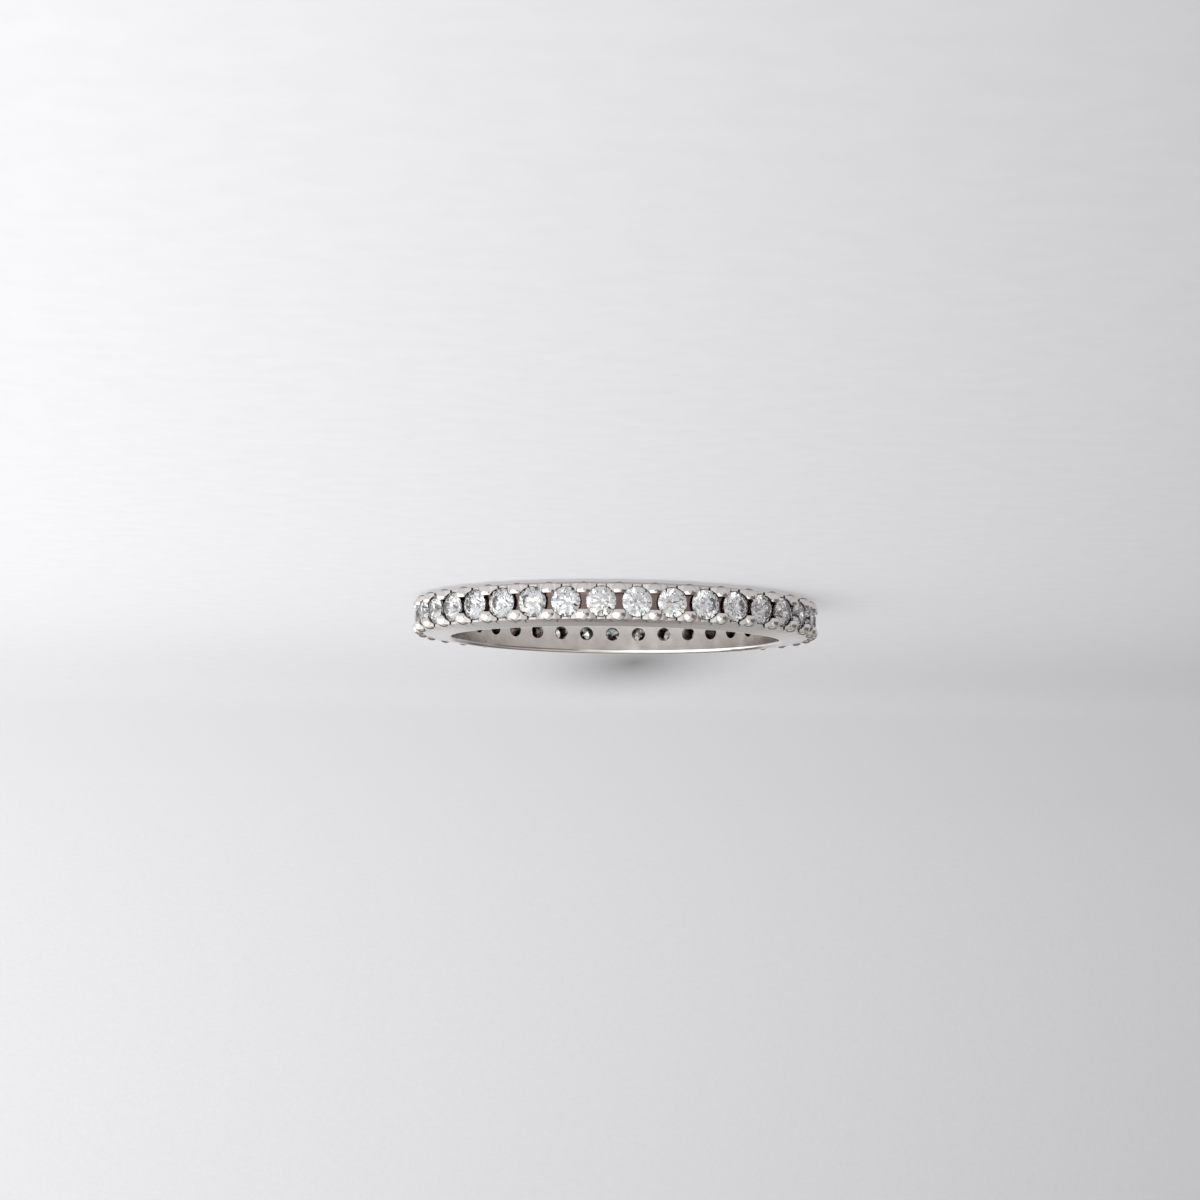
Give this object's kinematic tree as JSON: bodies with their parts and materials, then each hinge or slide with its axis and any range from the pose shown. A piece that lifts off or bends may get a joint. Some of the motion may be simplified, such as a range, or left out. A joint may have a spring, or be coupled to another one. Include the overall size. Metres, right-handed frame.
{
  "type": "eternity ring",
  "caption": "Full eternity finger ring: a cast white-metal band with shared bead prongs, round azure holes and arched side notches, set all round with round brilliant-cut clear stones.",
  "frame": {"origin": "centre of the ring's lower side, on the surface that it lies on", "axes": "+Z along the finger axis, up when the ring lies on its side; the first stone looks towards -X"},
  "size_m": [0.0208, 0.0208, 0.0021],
  "materials": {
    "white_metal": "polished white precious metal",
    "clear_stone": "polished facets"
  },
  "bodies": {
    "root": {"setting": "white_metal", "stone_01": "clear_stone", "stone_02": "clear_stone", "stone_03": "clear_stone", "stone_04": "clear_stone", "stone_05": "clear_stone", "stone_06": "clear_stone", "stone_07": "clear_stone", "stone_08": "clear_stone", "stone_09": "clear_stone", "stone_10": "clear_stone", "stone_11": "clear_stone", "stone_12": "clear_stone", "stone_13": "clear_stone", "stone_14": "clear_stone", "stone_15": "clear_stone", "stone_16": "clear_stone", "stone_17": "clear_stone", "stone_18": "clear_stone", "stone_19": "clear_stone", "stone_20": "clear_stone", "stone_21": "clear_stone", "stone_22": "clear_stone", "stone_23": "clear_stone", "stone_24": "clear_stone", "stone_25": "clear_stone", "stone_26": "clear_stone", "stone_27": "clear_stone", "stone_28": "clear_stone", "stone_29": "clear_stone", "stone_30": "clear_stone", "stone_31": "clear_stone", "stone_32": "clear_stone", "stone_33": "clear_stone", "stone_34": "clear_stone", "stone_35": "clear_stone", "stone_36": "clear_stone", "stone_37": "clear_stone"}
  },
  "joints": []
}
